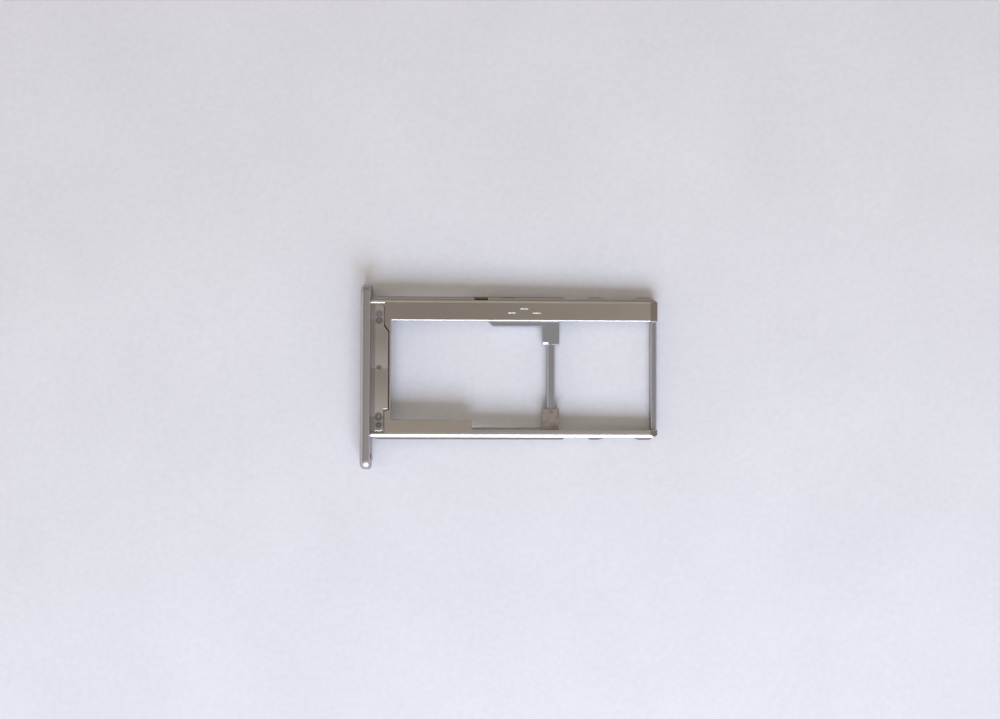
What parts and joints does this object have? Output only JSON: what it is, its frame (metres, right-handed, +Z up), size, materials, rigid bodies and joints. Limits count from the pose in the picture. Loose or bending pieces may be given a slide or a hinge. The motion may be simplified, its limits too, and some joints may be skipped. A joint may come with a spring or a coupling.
{
  "type": "sim card tray",
  "caption": "Metal card tray of a telephone: a stepped frame with pockets for a memory card and a nano SIM card, welded to a round-cornered cap with a release-pin hole.",
  "frame": {"origin": "on the back of the end cap, in the middle of the frame's width and thickness, where the tray's body leaves the cap", "axes": "+X along the tray from the cap to the nose, +Y across it towards the wide ledge, +Z up, away from the card side"},
  "size_m": [0.0287, 0.0178, 0.0028],
  "materials": {
    "frame_steel": "moulded and tumbled stainless steel, satin",
    "cap_steel": "blasted stainless steel, satin"
  },
  "bodies": {
    "root": {"tray_frame": "frame_steel", "end_cap": "cap_steel"}
  },
  "joints": []
}
